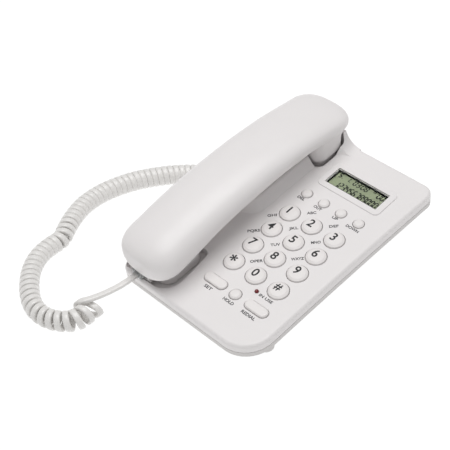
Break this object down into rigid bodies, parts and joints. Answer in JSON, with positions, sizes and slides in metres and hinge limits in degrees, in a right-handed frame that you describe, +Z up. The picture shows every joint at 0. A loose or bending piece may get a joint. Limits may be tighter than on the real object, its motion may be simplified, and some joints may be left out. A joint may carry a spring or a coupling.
{
  "type": "corded desk telephone",
  "caption": "Corded desk telephone: tilted slab base with keypad and display, handset lying in a cradle on the left, and a curly cord between them.",
  "frame": {"origin": "centre of the telephone's box, cord left out, on the table that it stands on", "axes": "+X to the user's right along the key rows, +Y away from the user along the handset, +Z up; the face rises away from the user at 9.2 degrees"},
  "size_m": [0.2028, 0.2601, 0.0704],
  "materials": {
    "white_shell": "off-white moulded ABS, fine satin grain",
    "white_shell_lower": "slightly greyer moulded ABS, fine texture",
    "handset_shell": "off-white moulded ABS, smooth satin",
    "key_plastic": "off-white moulded key caps, satin",
    "white_inner": "off-white moulded plastic",
    "clear_window": "clear acrylic lens",
    "display_glass": "grey-green reflective liquid crystal display",
    "black_foam": "black foam strip",
    "red_lamp": "dark red diffused lamp, unlit",
    "mat_rubber": "grey silicone rubber",
    "board": "green circuit board",
    "chip_resin": "black resin drop over a chip",
    "socket_plastic": "pale moulded socket",
    "dark_plastic": "black moulded plastic",
    "steel": "zinc plated steel",
    "foot_rubber": "grey rubber pads",
    "cord_vinyl": "off-white soft vinyl cord",
    "plug_clear": "clear moulded plug"
  },
  "bodies": {
    "base": {"ballast_plate": "steel", "base_cord_socket": "socket_plastic", "base_lower_shell": "white_shell_lower", "base_screws": "steel", "base_upper_shell": "white_shell", "cord_curl": "cord_vinyl", "cord_lead_base": "cord_vinyl", "cord_lead_handset": "cord_vinyl", "cord_plug_base": "plug_clear", "display_frame": "white_inner", "display_gasket": "black_foam", "display_glass": "display_glass", "display_window": "clear_window", "hook_switch": "dark_plastic", "in_use_lamp": "red_lamp", "keypad_mat": "mat_rubber", "line_circuit_board": "board", "line_socket": "socket_plastic", "main_circuit_board": "board", "main_controller_chip": "chip_resin", "ringer_speaker": "dark_plastic", "rubber_feet": "foot_rubber"},
    "handset": {"handset_outer_shell": "handset_shell", "handset_inner_shell": "handset_shell", "receiver_seal": "mat_rubber", "receiver_capsule": "dark_plastic", "microphone_holder": "mat_rubber", "microphone_capsule": "steel", "handset_weight": "steel", "handset_socket": "socket_plastic", "handset_screw": "steel", "cord_plug_handset": "plug_clear"},
    "hook": {"hook_plunger": "white_inner"},
    "key_1": {"key_1": "key_plastic"},
    "key_2": {"key_2": "key_plastic"},
    "key_3": {"key_3": "key_plastic"},
    "key_4": {"key_4": "key_plastic"},
    "key_5": {"key_5": "key_plastic"},
    "key_6": {"key_6": "key_plastic"},
    "key_7": {"key_7": "key_plastic"},
    "key_8": {"key_8": "key_plastic"},
    "key_9": {"key_9": "key_plastic"},
    "key_star": {"key_star": "key_plastic"},
    "key_0": {"key_0": "key_plastic"},
    "key_hash": {"key_hash": "key_plastic"},
    "button_delete": {"button_delete": "key_plastic"},
    "button_out": {"button_out": "key_plastic"},
    "button_up": {"button_up": "key_plastic"},
    "button_down": {"button_down": "key_plastic"},
    "button_set": {"button_set": "key_plastic"},
    "button_hold": {"button_hold": "key_plastic"},
    "button_redial": {"button_redial": "key_plastic"}
  },
  "joints": [
    {"name": "handset_lift", "type": "slide", "parent": "base", "child": "handset", "axis": [0, -0.1599, 0.9871], "range_m": [0, 0.08]},
    {"name": "hook_travel", "type": "slide", "parent": "base", "child": "hook", "axis": [0, -0.1599, 0.9871], "range_m": [0, 0.004]},
    {"name": "key_1_press", "type": "slide", "parent": "base", "child": "key_1", "axis": [0, 0.1599, -0.9871], "range_m": [0, 0.0015], "stiffness_N_per_m": 400},
    {"name": "key_2_press", "type": "slide", "parent": "base", "child": "key_2", "axis": [0, 0.1599, -0.9871], "range_m": [0, 0.0015], "stiffness_N_per_m": 400},
    {"name": "key_3_press", "type": "slide", "parent": "base", "child": "key_3", "axis": [0, 0.1599, -0.9871], "range_m": [0, 0.0015], "stiffness_N_per_m": 400},
    {"name": "key_4_press", "type": "slide", "parent": "base", "child": "key_4", "axis": [0, 0.1599, -0.9871], "range_m": [0, 0.0015], "stiffness_N_per_m": 400},
    {"name": "key_5_press", "type": "slide", "parent": "base", "child": "key_5", "axis": [0, 0.1599, -0.9871], "range_m": [0, 0.0015], "stiffness_N_per_m": 400},
    {"name": "key_6_press", "type": "slide", "parent": "base", "child": "key_6", "axis": [0, 0.1599, -0.9871], "range_m": [0, 0.0015], "stiffness_N_per_m": 400},
    {"name": "key_7_press", "type": "slide", "parent": "base", "child": "key_7", "axis": [0, 0.1599, -0.9871], "range_m": [0, 0.0015], "stiffness_N_per_m": 400},
    {"name": "key_8_press", "type": "slide", "parent": "base", "child": "key_8", "axis": [0, 0.1599, -0.9871], "range_m": [0, 0.0015], "stiffness_N_per_m": 400},
    {"name": "key_9_press", "type": "slide", "parent": "base", "child": "key_9", "axis": [0, 0.1599, -0.9871], "range_m": [0, 0.0015], "stiffness_N_per_m": 400},
    {"name": "key_star_press", "type": "slide", "parent": "base", "child": "key_star", "axis": [0, 0.1599, -0.9871], "range_m": [0, 0.0015], "stiffness_N_per_m": 400},
    {"name": "key_0_press", "type": "slide", "parent": "base", "child": "key_0", "axis": [0, 0.1599, -0.9871], "range_m": [0, 0.0015], "stiffness_N_per_m": 400},
    {"name": "key_hash_press", "type": "slide", "parent": "base", "child": "key_hash", "axis": [0, 0.1599, -0.9871], "range_m": [0, 0.0015], "stiffness_N_per_m": 400},
    {"name": "button_delete_press", "type": "slide", "parent": "base", "child": "button_delete", "axis": [0, 0.1599, -0.9871], "range_m": [0, 0.0012], "stiffness_N_per_m": 400},
    {"name": "button_out_press", "type": "slide", "parent": "base", "child": "button_out", "axis": [0, 0.1599, -0.9871], "range_m": [0, 0.0012], "stiffness_N_per_m": 400},
    {"name": "button_up_press", "type": "slide", "parent": "base", "child": "button_up", "axis": [0, 0.1599, -0.9871], "range_m": [0, 0.0012], "stiffness_N_per_m": 400},
    {"name": "button_down_press", "type": "slide", "parent": "base", "child": "button_down", "axis": [0, 0.1599, -0.9871], "range_m": [0, 0.0012], "stiffness_N_per_m": 400},
    {"name": "button_set_press", "type": "slide", "parent": "base", "child": "button_set", "axis": [0, 0.1599, -0.9871], "range_m": [0, 0.0012], "stiffness_N_per_m": 400},
    {"name": "button_hold_press", "type": "slide", "parent": "base", "child": "button_hold", "axis": [0, 0.1599, -0.9871], "range_m": [0, 0.0012], "stiffness_N_per_m": 400},
    {"name": "button_redial_press", "type": "slide", "parent": "base", "child": "button_redial", "axis": [0, 0.1599, -0.9871], "range_m": [0, 0.0012], "stiffness_N_per_m": 400}
  ],
  "couplings": [
    {"joint": "hook_travel", "follows": "handset_lift", "ratio": 0.05}
  ]
}
